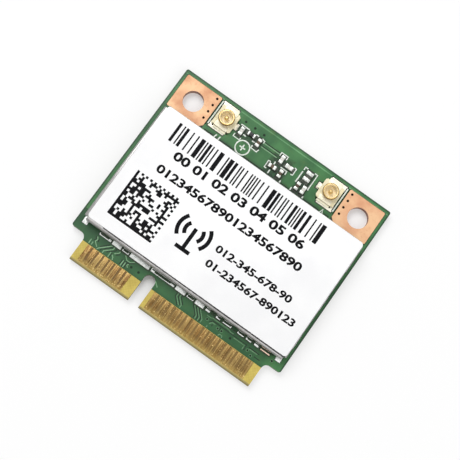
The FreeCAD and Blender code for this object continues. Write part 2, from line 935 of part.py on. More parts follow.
for node, length, width, height, lead_width, reach, places, y in (
    ("memory_chip", memory_length, memory_width, memory_height, memory_lead_width, memory_lead_reach,
     memory_lead_places(), lower_row_y),
    ("regulator", regulator_length, regulator_width, regulator_height, regulator_lead_width,
     regulator_lead_reach, regulator_lead_places(), upper_row_y),
):
    x = shield_x + outer_row_start + reach + land_overlap + width / 2
    leads = gull_leads(width, height, lead_width, reach, places)
    pieces[node] = placed([moulded_body(width, length, height)], x, y, board_top, 0)
    pieces[node + "_leads"] = placed(leads, x, y, board_top, 0)
    for row in lead_land_rows(width, lead_width, reach, places):
        inner_rows.append(placed_rects(row, x, y, 0))

pieces["inner_lands"] = []
for row in inner_rows:
    pieces["inner_lands"] += lands(row)
    openings += grown([around(row)], mask_gap)
pieces["solder_mask_top"] = [solder_mask(laminate_top, openings)]
pieces["solder_mask_bottom"] = [solder_mask(laminate_bottom - mask_thickness, [])]

os.makedirs("parts", exist_ok=True)
for node, shapes in pieces.items():
    Part.makeCompound(shapes).exportStep("parts/" + node + ".step")
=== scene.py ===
import bpy
import json
import math
import random
from mathutils import Matrix, Vector

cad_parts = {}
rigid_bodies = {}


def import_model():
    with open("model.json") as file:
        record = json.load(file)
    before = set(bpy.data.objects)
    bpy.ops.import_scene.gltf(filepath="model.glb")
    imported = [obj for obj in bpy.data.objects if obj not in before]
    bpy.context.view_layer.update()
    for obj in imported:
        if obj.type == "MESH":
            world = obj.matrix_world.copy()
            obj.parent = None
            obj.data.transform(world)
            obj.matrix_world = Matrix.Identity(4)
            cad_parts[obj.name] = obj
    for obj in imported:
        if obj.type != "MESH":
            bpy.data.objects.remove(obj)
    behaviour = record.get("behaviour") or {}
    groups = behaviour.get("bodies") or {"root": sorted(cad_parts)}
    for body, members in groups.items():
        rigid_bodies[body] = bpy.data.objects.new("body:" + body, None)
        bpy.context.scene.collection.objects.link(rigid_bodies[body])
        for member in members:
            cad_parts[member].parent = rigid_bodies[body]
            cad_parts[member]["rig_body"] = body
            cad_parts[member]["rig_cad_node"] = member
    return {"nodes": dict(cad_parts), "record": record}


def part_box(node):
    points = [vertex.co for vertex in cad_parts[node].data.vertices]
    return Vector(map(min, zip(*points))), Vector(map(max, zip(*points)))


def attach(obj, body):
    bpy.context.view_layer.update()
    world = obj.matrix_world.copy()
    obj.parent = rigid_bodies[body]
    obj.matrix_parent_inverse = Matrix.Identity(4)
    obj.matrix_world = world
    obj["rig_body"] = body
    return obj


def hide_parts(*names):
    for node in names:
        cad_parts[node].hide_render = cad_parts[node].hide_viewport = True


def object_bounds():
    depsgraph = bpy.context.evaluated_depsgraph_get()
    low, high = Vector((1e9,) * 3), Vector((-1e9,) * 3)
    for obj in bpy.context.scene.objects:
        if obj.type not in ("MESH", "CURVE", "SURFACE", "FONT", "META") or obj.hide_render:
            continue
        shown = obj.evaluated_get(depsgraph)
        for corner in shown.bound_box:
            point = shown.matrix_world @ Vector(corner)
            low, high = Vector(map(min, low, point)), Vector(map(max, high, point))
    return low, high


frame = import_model()
nodes = frame["nodes"]
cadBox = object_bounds()
print("card loaded,", len(nodes), "nodes")

mm = 0.001
boardLow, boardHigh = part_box("circuit_board")
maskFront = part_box("solder_mask_top")[0].y
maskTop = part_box("solder_mask_top")[1].z
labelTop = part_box("label")[1].z
shortLow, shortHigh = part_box("short_contacts_top")
longLow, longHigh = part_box("long_contacts_top")
mounts = {mount["name"]: mount for mount in frame["record"]["mounts"]}
screwHoles = mounts["standoff_holes"]
holeX = screwHoles["dims"]["spacing_x_mm"] / 2 * mm
holeY = screwHoles["pos_m"][1]
holeRadius = screwHoles["dims"]["hole_r_mm"] * mm
jackX, jackY = mounts["right_antenna_jack"]["pos_m"][:2]


def cardX(x):  # millimetres from the card's left edge
    return boardLow.x + x * mm


def cardY(y):  # millimetres from its contact edge
    return boardLow.y + y * mm


def cardPoint(x, y, z=0.0):
    return Vector((cardX(x), cardY(y), z))


def paint(red, green, blue):  # screen colour to the linear one a shader takes
    values = []
    for value in (red, green, blue):
        share = value / 255
        values.append(share / 12.92 if share <= 0.04045 else ((share + 0.055) / 1.055) ** 2.4)
    return (*values, 1.0)


# shader maths: a socket that adds, multiplies and compares by making Math nodes
class Shade:
    def __init__(self, tree, socket=None):
        self.tree = tree
        self.socket = socket

    def node(self, kind, settings=None, inputs=None, output=0):
        made = self.tree.nodes.new("ShaderNode" + kind)
        for name, value in (settings or {}).items():
            setattr(made, name, value)
        for name, value in (inputs or {}).items():
            if isinstance(value, Shade):
                self.tree.links.new(value.socket, made.inputs[name])
            else:
                made.inputs[name].default_value = value
        return Shade(self.tree, made.outputs[output] if made.outputs else None)

    def maths(self, operation, first, second=0.0):
        return self.node("Math", {"operation": operation}, {0: first, 1: second})

    def __add__(self, other):
        return self.maths("ADD", self, other)

    __radd__ = __add__

    def __sub__(self, other):
        return self.maths("SUBTRACT", self, other)

    def __rsub__(self, other):
        return self.maths("SUBTRACT", other, self)

    def __mul__(self, other):
        return self.maths("MULTIPLY", self, other)

    __rmul__ = __mul__

    def __gt__(self, other):
        return self.maths("GREATER_THAN", self, other)

    def __lt__(self, other):
        return self.maths("LESS_THAN", self, other)

    def __abs__(self):
        return self.maths("ABSOLUTE", self)


def newFinish(name):
    material = bpy.data.materials.new(name)
    material.use_nodes = True
    material.node_tree.nodes.clear()
    return material, Shade(material.node_tree)


def closeFinish(shade, inputs):
    surface = shade.node("BsdfPrincipled", None, inputs)
    shade.node("OutputMaterial", None, {"Surface": surface})


def objectPlace(shade):
    return shade.node("TexCoord", output="Object")


def stretched(shade, place, scale):
    return shade.node("Mapping", None, {"Vector": place, "Scale": scale})


def grain(shade, place, size, detail=2.0):  # cloudy noise with lumps of a size in millimetres
    return shade.node("TexNoise", None, {"Vector": place, "Scale": 1 / (size * mm), "Detail": detail})


def contrast(shade, value, low, high):  # 0 below low, 1 above high
    return shade.node("MapRange", {"clamp": True}, {"Value": value, "From Min": low, "From Max": high})


def patches(shade, place, size, low, high, detail=3.0):
    return contrast(shade, grain(shade, place, size, detail), low, high)


def mottle(shade, place, lump, fleck, fleckShare):  # lumps, finer flecks, and a share mixed from both
    lumps = grain(shade, place, lump, detail=3.0)
    flecks = grain(shade, place, fleck, detail=3.0)
    share = contrast(shade, lumps * (1 - fleckShare) + flecks * fleckShare, low=0.36, high=0.64)
    return lumps, flecks, share


def tint(shade, share, first, second):
    return shade.node("Mix", {"data_type": "RGBA"}, {0: share, 6: first, 7: second}, 2)


def relief(shade, height, depth, strength):  # bump of a depth in millimetres
    return shade.node("Bump", None, {"Height": height, "Distance": depth * mm, "Strength": strength})


def axesOf(shade, vector):
    return [shade.node("SeparateXYZ", None, {0: vector}, axis) for axis in range(3)]


def facingUp(shade):
    return axesOf(shade, shade.node("NewGeometry", output="Normal"))[2]


def within(value, low, high):  # 1 inside a stretch given in metres, 0 outside
    return (value > low) * (value < high)


def nearAxis(x, y, axisX, axisY, radius):  # 1 round an axis and its mirror image across the card
    fromX = abs(x) - axisX
    fromY = y - axisY
    return fromX * fromX + fromY * fromY < radius ** 2


# finishes: sizes and places in millimetres, shares from 0 to 1
lacquerCoat = {"Specular IOR Level": 0.3, "Coat Weight": 0.1, "Coat Roughness": 0.2}
maskLook = {
    "dark": paint(44, 96, 54), "light": paint(66, 122, 70), "cloud": 2.4, "peel": 0.12,
    "rough": 0.34, "peelRough": 0.14, "blotch": paint(82, 114, 58), "blotchSize": 0.9, "blotchShare": 0.5,
    "front": paint(20, 62, 32), "frontShare": 0.75, "frontStart": 1.4, "frontFull": 4.4, "frontEnd": 6.0,
    "fadeStart": 27.4, "fadeEnd": 28.8, "edgeFade": 0.45, "edgeShare": 0.55,
    "rim": paint(20, 60, 32), "rimWidth": 0.18, "rimShare": 0.8,
    "seam": paint(112, 168, 116), "seamY": 26.32, "seamWidth": 0.14, "seamShare": 0.35, "seamCloud": 0.5,
    # the lacquer's dark zones are painted shade round the chip parts and a painted shadow behind the shield
    "stainAndShade": paint(12, 34, 18), "shadeFade": 0.5, "stainAndShadeShare": 0.5, "shadeRagged": 0.35, "shadeGrain": 0.25,
    "paintedShade": [(9.0, 12.9, 23.2, 25.3), (14.2, 17.35, 21.4, 25.2), (18.3, 20.5, 21.4, 25.5),
                (6.0, 24.2, 21.0, 22.3)],  # left, right, low and high end
}


def greenLacquer():
    material, shade = newFinish("green_lacquer")
    place = objectPlace(shade)
    x, y, z = axesOf(shade, place)
    cloud = patches(shade, place, maskLook["cloud"], low=0.35, high=0.65, detail=2.0)
    peel = grain(shade, place, maskLook["peel"], detail=3.0)
    blotch = patches(shade, place, maskLook["blotchSize"], low=0.55, high=0.75)
    colour = tint(shade, cloud, maskLook["dark"], maskLook["light"])
    colour = tint(shade, blotch * maskLook["blotchShare"], colour, maskLook["blotch"])
    # darker in front of the shield, fading out near the right end, and next to the contacts
    onTop = z > boardHigh.z / 2
    ahead = contrast(shade, y, cardY(maskLook["frontStart"]), cardY(maskLook["frontFull"]))
    ahead = ahead * (y < cardY(maskLook["frontEnd"])) * onTop
    ahead = ahead * (1 - contrast(shade, x, cardX(maskLook["fadeStart"]), cardX(maskLook["fadeEnd"])))
    colour = tint(shade, ahead * maskLook["frontShare"], colour, maskLook["front"])
    byContacts = 1 - contrast(shade, y, maskFront, maskFront + maskLook["edgeFade"] * mm)
    colour = tint(shade, byContacts * maskLook["edgeShare"], colour, maskLook["front"])
    # painted shade round the chip parts and a painted shadow of the shield behind it, ragged and fading in
    # at each zone's sides
    ragged = patches(shade, place, maskLook["shadeGrain"], low=0.4, high=0.6)
    stainAndShadeShare = onTop * (maskLook["stainAndShadeShare"] + maskLook["shadeRagged"] * ragged)
    for left, right, low, high in maskLook["paintedShade"]:
        insideX = shade.maths("MINIMUM", x - cardX(left), cardX(right) - x)
        insideY = shade.maths("MINIMUM", y - cardY(low), cardY(high) - y)
        inside = shade.maths("MINIMUM", insideX, insideY)
        paintedShade = contrast(shade, inside, 0.0, maskLook["shadeFade"] * mm)
        colour = tint(shade, paintedShade * stainAndShadeShare, colour, maskLook["stainAndShade"])
    # a copper border under the lacquer at the back, and the dark edge at the back and sides
    onSeam = abs(y - cardY(maskLook["seamY"])) < maskLook["seamWidth"] * mm / 2
    seamShare = onSeam * (maskLook["seamShare"] + maskLook["seamCloud"] * cloud)
    colour = tint(shade, seamShare, colour, maskLook["seam"])
    rimX = boardHigh.x - maskLook["rimWidth"] * mm
    rimY = boardHigh.y - maskLook["rimWidth"] * mm
    onRim = shade.maths("MAXIMUM", abs(x) > rimX, y > rimY)
    colour = tint(shade, onRim * maskLook["rimShare"], colour, maskLook["rim"])
    closeFinish(shade, {
        "Base Color": colour, "Roughness": maskLook["rough"] + maskLook["peelRough"] * peel, **lacquerCoat,
        "Normal": relief(shade, peel, depth=0.006, strength=0.6),
    })
    return material


traceLook = {
    "base": paint(96, 144, 100), "worn": paint(150, 186, 148), "patch": 0.6, "peel": 0.1,
    "dim": paint(76, 118, 80), "dimFrom": 14.0, "dimShare": 0.65, "rough": 0.3, "peelRough": 0.15,
}


def traceLacquer():
    material, shade = newFinish("trace_lacquer")
    place = objectPlace(shade)
    x, y = axesOf(shade, place)[:2]
    patch = grain(shade, place, traceLook["patch"])
    peel = grain(shade, place, traceLook["peel"], detail=3.0)
    colour = tint(shade, patch, traceLook["base"], traceLook["worn"])
    # the lacquer lies thicker over the front lines right of the slot
    dim = (x > cardX(traceLook["dimFrom"])) * (y < 0)
    closeFinish(shade, {
        "Base Color": tint(shade, dim * traceLook["dimShare"], colour, traceLook["dim"]),
        "Roughness": traceLook["rough"] + traceLook["peelRough"] * peel, **lacquerCoat,
        "Normal": relief(shade, peel, depth=0.004, strength=0.5),
    })
    return material


laminateLook = {
    "face": paint(208, 187, 88), "deep": paint(184, 162, 70), "cloud": 1.1,
    "weave": 0.42, "weaveShare": 0.08,
    "between": paint(110, 80, 22), "betweenStart": 0.3, "betweenFull": 1.0, "longShare": 0.88,
    "ahead": paint(200, 172, 92), "aheadDark": paint(174, 144, 70), "streak": 0.25,
    "streakStretch": (1.0, 0.3, 1.0), "windowShade": paint(24, 36, 20),
    "side": paint(100, 92, 46), "sideDark": paint(58, 54, 26), "ply": 0.16,
    "plated": paint(150, 106, 88), "platedReach": 0.1,
    "slope": paint(182, 166, 104), "slopeShade": paint(112, 100, 56), "slopeWidth": 0.26,
    "flatUp": 0.95, "slopeUp": 0.3, "rough": 0.42, "cloudRough": 0.2,
}


def bareLaminate():
    material, shade = newFinish("bare_laminate")
    place = objectPlace(shade)
    x, y, z = axesOf(shade, place)
    fibre = 2 * math.pi / (laminateLook["weave"] * mm)
    weave = shade.maths("SINE", x * fibre) * shade.maths("SINE", y * fibre)
    cloud = grain(shade, place, laminateLook["cloud"], detail=4.0)
    resin = contrast(shade, cloud + weave * laminateLook["weaveShare"], low=0.3, high=0.7)
    face = tint(shade, resin, laminateLook["face"], laminateLook["deep"])
    # the strip ahead of the contacts is streaked where they were plated
    onShort = within(x, shortLow.x, shortHigh.x)
    onLong = within(x, longLow.x, longHigh.x)
    along = stretched(shade, place, laminateLook["streakStretch"])
    streak = patches(shade, along, laminateLook["streak"], low=0.35, high=0.65)
    ahead = tint(shade, streak, laminateLook["aheadDark"], laminateLook["ahead"])
    face = tint(shade, (onShort + onLong) * (y < longHigh.y), face, ahead)
    # the bare gaps between contacts are painted darker as shade, more so in the short row
    gapStart, gapFull = cardY(laminateLook["betweenStart"]), cardY(laminateLook["betweenFull"])
    onRow = contrast(shade, y, gapStart, gapFull) * (y < longHigh.y)
    dark = onRow * (onShort + onLong * laminateLook["longShare"])
    face = tint(shade, dark, face, laminateLook["between"])
    # the lacquer windows round the parts are painted near black: dark bare laminate, with painted shade
    # round the parts
    face = tint(shade, y > maskFront, face, laminateLook["windowShade"])
    # cut sides show the plies and are painted dark as shade, and the screw holes are plated, with their
    # walls painted darker as shade
    ply = shade.maths("SINE", z * (2 * math.pi / (laminateLook["ply"] * mm)))
    side = contrast(shade, ply + cloud, low=-0.4, high=1.4)
    side = tint(shade, side, laminateLook["sideDark"], laminateLook["side"])
    inHole = nearAxis(x, y, holeX, holeY, holeRadius + laminateLook["platedReach"] * mm)
    side = tint(shade, inHole, side, laminateLook["plated"])
    # the bevel at the contact edge is painted darker towards its foot, as shade
    up = abs(facingUp(shade))
    upper = contrast(shade, y, boardLow.y, boardLow.y + laminateLook["slopeWidth"] * mm)
    slope = tint(shade, upper, laminateLook["slopeShade"], laminateLook["slope"])
    colour = tint(shade, up > laminateLook["flatUp"], slope, face)
    colour = tint(shade, up > laminateLook["slopeUp"], side, colour)
    closeFinish(shade, {
        "Base Color": colour, "Roughness": laminateLook["rough"] + laminateLook["cloudRough"] * cloud,
        "Normal": relief(shade, weave + cloud * 2, depth=0.006, strength=0.5),
    })
    return material


contactLook = {
    "bright": paint(162, 137, 84), "brown": paint(94, 68, 32), "line": 0.15, "lineStretch": (1.0, 0.04, 1.0),
    "orange": paint(150, 104, 52), "orangeShare": 0.7, "speck": 0.16, "cloud": 2.2, "cloudShare": 0.5,
    "worn": paint(106, 86, 40), "wornShare": 0.3,
    "track": paint(96, 70, 34), "shortTrack": 0.34, "longTrack": 0.2, "pitch": 0.8, "width": 0.6,
    "tip": 0.7, "pale": paint(170, 142, 76), "paleShare": 0.6,
    "glint": paint(222, 196, 134), "tipGlints": 0.12, "wornGlints": 0.08,
    "metal": 0.75, "rough": 0.3, "speckRough": 0.25,
}


def contactGold():
    material, shade = newFinish("contact_gold")
    place = objectPlace(shade)
    x, y = axesOf(shade, place)[:2]
    # lines drawn along each contact by plugging and plating
    line = grain(shade, stretched(shade, place, contactLook["lineStretch"]), contactLook["line"])
    speck = grain(shade, place, contactLook["speck"], detail=4.0)
    cloud = grain(shade, place, contactLook["cloud"])
    clean = contrast(shade, line, low=0.4, high=0.55)
    colour = tint(shade, clean, contactLook["brown"], contactLook["bright"])
    tarnish = contrast(shade, speck + cloud * contactLook["cloudShare"], low=0.7, high=0.95)
    colour = tint(shade, tarnish * contactLook["orangeShare"], colour, contactLook["orange"])
    # the long row is more worn
    worn = x > longLow.x
    colour = tint(shade, worn * contactLook["wornShare"], colour, contactLook["worn"])
    # a socket has worn a darker track down the middle of each contact
    turn = 2 * math.pi / (contactLook["pitch"] * mm)
    shortRow = (shortLow.x, shortHigh.x, contactLook["shortTrack"])
    longRow = (longLow.x, longHigh.x, contactLook["longTrack"])
    for left, right, share in (shortRow, longRow):
        middle = left + contactLook["width"] * mm / 2
        track = contrast(shade, shade.maths("COSINE", (x - middle) * turn), low=0.2, high=1.0)
        colour = tint(shade, track * within(x, left, right) * share, colour, contactLook["track"])
    # both rows pale towards their front ends, and most painted glints, bright grains standing for
    # highlights, lie there
    tip = 1 - contrast(shade, y, longLow.y, longLow.y + contactLook["tip"] * mm)
    colour = tint(shade, tip * contactLook["paleShare"], colour, contactLook["pale"])
    glints = speck + tip * (contactLook["tipGlints"] - contactLook["wornGlints"] * worn)
    colour = tint(shade, contrast(shade, glints, low=0.62, high=0.72), colour, contactLook["glint"])
    closeFinish(shade, {
        "Base Color": colour, "Metallic": contactLook["metal"],
        "Roughness": contactLook["rough"] + contactLook["speckRough"] * speck,
        "Normal": relief(shade, line + speck, depth=0.004, strength=0.6),
    })
    return material


copperLook = {
    "pale": paint(230, 186, 143), "rosy": paint(215, 158, 120), "cloud": 2.0, "dent": 0.2,
    "stainAndShade": paint(186, 122, 86), "spot": 0.35, "stainAndShadeShare": 0.45,
    "metal": 0.25, "rough": 0.45, "cloudRough": 0.2,
}


def bareCopper():
    material, shade = newFinish("bare_copper")
    place = objectPlace(shade)
    cloud = patches(shade, place, copperLook["cloud"], low=0.35, high=0.68)
    spot = patches(shade, place, copperLook["spot"], low=0.58, high=0.78)
    dents = grain(shade, place, copperLook["dent"], detail=4.0)
    colour = tint(shade, cloud, copperLook["pale"], copperLook["rosy"])
    colour = tint(shade, spot * copperLook["stainAndShadeShare"], colour, copperLook["stainAndShade"])
    closeFinish(shade, {
        "Base Color": colour, "Metallic": copperLook["metal"],
        "Roughness": copperLook["rough"] + copperLook["cloudRough"] * cloud,
        "Normal": relief(shade, dents, depth=0.006, strength=0.5),
    })
    return material


metalFlecks = {"finer": 6, "share": 0.3, "rough": 0.2}
metalLooks = {
    "solder_tin": {"bright": paint(228, 230, 225), "dull": paint(170, 174, 168), "metal": 0.7, "rough": 0.26,
                   "lump": 0.3, "depth": 0.012},
    "fillet_tin": {"bright": paint(132, 138, 128), "dull": paint(70, 78, 68), "metal": 0.6, "rough": 0.3,
                   "lump": 0.25, "depth": 0.012},
    "land_tin": {"bright": paint(250, 251, 249), "dull": paint(206, 210, 206), "metal": 0.6, "rough": 0.24,
                 "lump": 0.3, "depth": 0.012, "bare": paint(236, 204, 182),
                 "bareAreas": [(26.4, 27.9, 3.0, 6.0)]},  # left, right, low and high end
    "jack_tin": {"bright": paint(254, 251, 236), "dull": paint(238, 234, 212), "metal": 0.3, "rough": 0.34,
                 "lump": 0.3, "depth": 0.01},
    "via_plating": {"bright": paint(120, 80, 50), "dull": paint(50, 28, 16), "metal": 0.5, "rough": 0.4,
                    "lump": 0.1, "depth": 0.004},
}


def metalFinish(name, look):
    material, shade = newFinish(name)
    place = objectPlace(shade)
    x, y = axesOf(shade, place)[:2]
    fleck = look["lump"] / metalFlecks["finer"]
    lumps, flecks, share = mottle(shade, place, look["lump"], fleck, metalFlecks["share"])
    colour = tint(shade, share, look["dull"], look["bright"])
    for left, right, low, high in look.get("bareAreas", []):  # places that took no solder
        bare = within(x, cardX(left), cardX(right)) * within(y, cardY(low), cardY(high))
        colour = tint(shade, bare, colour, look["bare"])
    closeFinish(shade, {
        "Base Color": colour, "Metallic": look["metal"],
        "Roughness": look["rough"] + metalFlecks["rough"] * flecks,
        "Normal": relief(shade, lumps + flecks, look["depth"], strength=0.7),
    })
    return material


jackLook = {
    "bright": paint(228, 203, 146), "dull": paint(198, 166, 102), "lump": 0.4, "fleck": 0.07,
    "fleckShare": 0.3, "inner": paint(250, 236, 200), "innerFrom": 0.45, "innerTo": 0.8,
    "brimShade": paint(136, 102, 52), "brimFrom": 0.9, "brimShare": 0.75,
    "tinned": paint(251, 244, 218), "tinnedBelow": 1.5, "metal": 0.85, "metalLoss": 0.65,
    "rough": 0.18, "fleckRough": 0.2, "tinnedRough": 0.15,
}


def jackGold():
    material, shade = newFinish("jack_gold")
    place = objectPlace(shade)
    x, y, z = axesOf(shade, place)
    lumps, flecks, share = mottle(shade, place, jackLook["lump"], jackLook["fleck"], jackLook["fleckShare"])
    colour = tint(shade, share, jackLook["dull"], jackLook["bright"])
    # painted light inside the ring, which is paler and less metallic there, and painted shade at its brim;
    # solder has run over the low straps
    inner = nearAxis(x, y, jackX, jackY, jackLook["innerTo"] * mm)
    inner = inner - nearAxis(x, y, jackX, jackY, jackLook["innerFrom"] * mm)
    colour = tint(shade, inner, colour, jackLook["inner"])
    brimShade = 1 - nearAxis(x, y, jackX, jackY, jackLook["brimFrom"] * mm)
    colour = tint(shade, brimShade * jackLook["brimShare"], colour, jackLook["brimShade"])
    tinned = z < jackLook["tinnedBelow"] * mm
    metal = jackLook["metal"] - jackLook["metalLoss"] * shade.maths("MAXIMUM", tinned, inner)
    closeFinish(shade, {
        "Base Color": tint(shade, tinned, colour, jackLook["tinned"]), "Metallic": metal,
        "Roughness": jackLook["rough"] + jackLook["fleckRough"] * flecks + jackLook["tinnedRough"] * tinned,
        "Normal": relief(shade, lumps + flecks, depth=0.005, strength=0.7),
    })
    return material


shieldLook = {
    "bright": paint(186, 184, 183), "dull": paint(150, 149, 147), "brush": 0.03,
    "brushStretch": (0.03, 1.0, 1.0), "brushShare": 0.6, "cloud": 2.5, "speck": 0.12, "speckShare": 0.2,
    "speckAndEdgeShade": paint(30, 28, 28), "edgeShadeFrom": 3.4, "edgeShadeWidth": 0.16, "edgeShadeGrain": 0.5, "edgeShadeShare": 0.65,
    "edgeShadeRagged": 0.5, "edgeShadeDepth": 0.02, "edgeShadeWander": 0.4, "edgeShadeAhead": 0.8,
    "metal": 0.8, "rough": 0.3, "cloudRough": 0.15,
}


def shieldSteel():
    material, shade = newFinish("shield_steel")
    place = objectPlace(shade)
    x, y, z = axesOf(shade, place)
    brushed = grain(shade, stretched(shade, place, shieldLook["brushStretch"]), shieldLook["brush"])
    cloud = grain(shade, place, shieldLook["cloud"], detail=3.0)
    brushShare = shieldLook["brushShare"]
    share = contrast(shade, brushed * brushShare + cloud * (1 - brushShare), low=0.35, high=0.65)
    colour = tint(shade, share, shieldLook["dull"], shieldLook["bright"])
    specks = patches(shade, place, shieldLook["speck"], low=0.5, high=0.7)
    colour = tint(shade, specks * shieldLook["speckShare"], colour, shieldLook["speckAndEdgeShade"])
    # painted shade: a ragged dark band along the label's front edge
    low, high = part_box("label")
    ragged = grain(shade, place, shieldLook["edgeShadeGrain"], detail=3.0)
    width = shieldLook["edgeShadeWidth"] * mm
    speckAndEdgeShade = within(x, cardX(shieldLook["edgeShadeFrom"]), high.x) * (z > low.z - shieldLook["edgeShadeDepth"] * mm)
    edge = y + ragged * width * shieldLook["edgeShadeWander"]
    speckAndEdgeShade = speckAndEdgeShade * within(edge, low.y - width * shieldLook["edgeShadeAhead"], low.y + width)
    speckAndEdgeShade = speckAndEdgeShade * (shieldLook["edgeShadeShare"] + shieldLook["edgeShadeRagged"] * ragged)
    closeFinish(shade, {
        "Base Color": tint(shade, speckAndEdgeShade, colour, shieldLook["speckAndEdgeShade"]), "Metallic": shieldLook["metal"],
        "Roughness": shieldLook["rough"] + shieldLook["cloudRough"] * cloud,
        "Normal": relief(shade, brushed, depth=0.003, strength=0.6),
    })
    return material


paperLook = {
    "white": paint(252, 252, 252), "shade": paint(243, 243, 244), "edge": paint(205, 205, 206),
    "fibre": 0.08, "fibreShare": 0.3, "cloud": 6.0, "faceUp": 0.5, "rough": 0.48, "fibreRough": 0.1,
}


def labelPaper():
    material, shade = newFinish("label_paper")
    place = objectPlace(shade)
    fibre = grain(shade, place, paperLook["fibre"], detail=4.0)
    cloud = grain(shade, place, paperLook["cloud"])
    shaded = contrast(shade, cloud + fibre * paperLook["fibreShare"], low=0.5, high=0.85)
    colour = tint(shade, shaded, paperLook["white"], paperLook["shade"])
    # the label's sides are painted greyer, as shade
    colour = tint(shade, facingUp(shade) > paperLook["faceUp"], paperLook["edge"], colour)
    closeFinish(shade, {
        "Base Color": colour, "Roughness": paperLook["rough"] + paperLook["fibreRough"] * fibre,
        "Normal": relief(shade, fibre, depth=0.002, strength=0.4),
    })
    return material


mouldedPits = {"finer": 8, "share": 0.4, "rough": 0.15}
mouldedLooks = {
    "jack_plastic": {"dark": paint(240, 227, 184), "light": paint(254, 247, 214), "lump": 0.7, "rough": 0.4,
                     "depth": 0.004, "shine": 0.5, "litWell": paint(255, 240, 206)},
    "capacitor_ceramic": {"dark": paint(58, 48, 36), "light": paint(96, 78, 58), "lump": 0.3, "rough": 0.45,
                          "depth": 0.006, "shine": 0.4},
    "resistor_black": {"dark": paint(16, 16, 18), "light": paint(38, 38, 42), "lump": 0.3, "rough": 0.35,
                       "depth": 0.004, "shine": 0.4},
    "inductor_ceramic": {"dark": paint(196, 196, 188), "light": paint(232, 230, 222), "lump": 0.3,
                         "rough": 0.4, "depth": 0.005, "shine": 0.5},
    "filter_ceramic": {"dark": paint(52, 54, 46), "light": paint(88, 90, 78), "lump": 0.4, "rough": 0.4,
                       "depth": 0.006, "shine": 0.4},
    "chip_plastic": {"dark": paint(24, 24, 26), "light": paint(46, 46, 50), "lump": 0.5, "rough": 0.5,
                     "depth": 0.006, "shine": 0.3},
    "coil_ferrite": {"dark": paint(46, 46, 50), "light": paint(78, 78, 82), "lump": 0.5, "rough": 0.5,
                     "depth": 0.01, "shine": 0.4},
    "black_ink": {"dark": paint(6, 6, 8), "light": paint(20, 20, 23), "lump": 0.3, "rough": 0.5,
                  "depth": 0.002, "shine": 0.08},
    "white_ink": {"dark": paint(214, 222, 212), "light": paint(244, 248, 242), "lump": 0.25, "rough": 0.5,
                  "depth": 0.003, "shine": 0.3},
    "gap_and_shadow_lacquer": {"dark": paint(8, 26, 14), "light": paint(18, 44, 24), "lump": 0.3, "rough": 0.4,
                    "depth": 0.004, "shine": 0.3},
    "via_lacquer_and_shade": {"dark": paint(12, 30, 16), "light": paint(26, 50, 28), "lump": 0.2, "rough": 0.45,
                    "depth": 0.004, "shine": 0.2},
    "foot_shade": {"dark": paint(24, 38, 24), "light": paint(62, 80, 56), "lump": 0.25, "rough": 0.4,
                   "depth": 0.006, "shine": 0.3},
    "via_resin_and_shade": {"dark": paint(20, 10, 6), "light": paint(44, 24, 14), "lump": 0.1, "rough": 0.6,
                  "depth": 0.004, "shine": 0.1},
}


def mouldedFinish(name, look):
    material, shade = newFinish(name)
    place = objectPlace(shade)
    pitSize = look["lump"] / mouldedPits["finer"]
    pits, share = mottle(shade, place, look["lump"], pitSize, mouldedPits["share"])[1:]
    colour = tint(shade, share, look["dark"], look["light"])
    if "litWell" in look:  # painted light: the jacks are paler inside their rings
        x, y = axesOf(shade, place)[:2]
        inWell = nearAxis(x, y, jackX, jackY, jackLook["innerTo"] * mm)
        colour = tint(shade, inWell, colour, look["litWell"])
    closeFinish(shade, {
        "Base Color": colour, "Roughness": look["rough"] + mouldedPits["rough"] * pits,
        "Specular IOR Level": look["shine"],
        "Normal": relief(shade, pits, look["depth"], strength=0.6),
    })
    return material


finishes = {
    "solder_mask": greenLacquer(), "trace_lacquer": traceLacquer(), "laminate": bareLaminate(),
    "contact_gold": contactGold(), "pad_copper": bareCopper(), "jack_gold": jackGold(),
    "shield_steel": shieldSteel(), "label_paper": labelPaper(),
}
for finishName, finishLook in metalLooks.items():
    finishes[finishName] = metalFinish(finishName, finishLook)
for finishName, finishLook in mouldedLooks.items():
    finishes[finishName] = mouldedFinish(finishName, finishLook)
slotOf = {row["node"]: row["material_slot"] for row in frame["record"]["subparts"]}
ownFinish = {"ground_vias": "via_plating", "shield_solder": "land_tin", "jack_solder": "jack_tin",
             "chip_solder": "fillet_tin"}
for nodeName, node in nodes.items():
    finishName = ownFinish.get(nodeName, slotOf[nodeName])
    node.material_slots[0].material = finishes[finishName]
print("finishes made,", len(finishes))


# modelling helpers
def startFresh():
    bpy.ops.object.select_all(action="DESELECT")


def editAll():
    bpy.ops.object.mode_set(mode="EDIT")
    bpy.ops.mesh.select_all(action="SELECT")


def endEdit():
    bpy.ops.object.mode_set(mode="OBJECT")


def raiseFaces(height):
    bpy.ops.mesh.extrude_region_move(TRANSFORM_OT_translate={"value": (0, 0, height * mm)})


def turnOutwards():  # makes all normals point out and ends the edit
    bpy.ops.mesh.select_all(action="SELECT")
    bpy.ops.mesh.normals_make_consistent(inside=False)
    endEdit()


def finishPiece(piece, name, finish):
    piece.name = name
    piece.data.name = name
    piece.data.materials.clear()
    piece.data.materials.append(finishes[finish])
    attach(piece, "root")


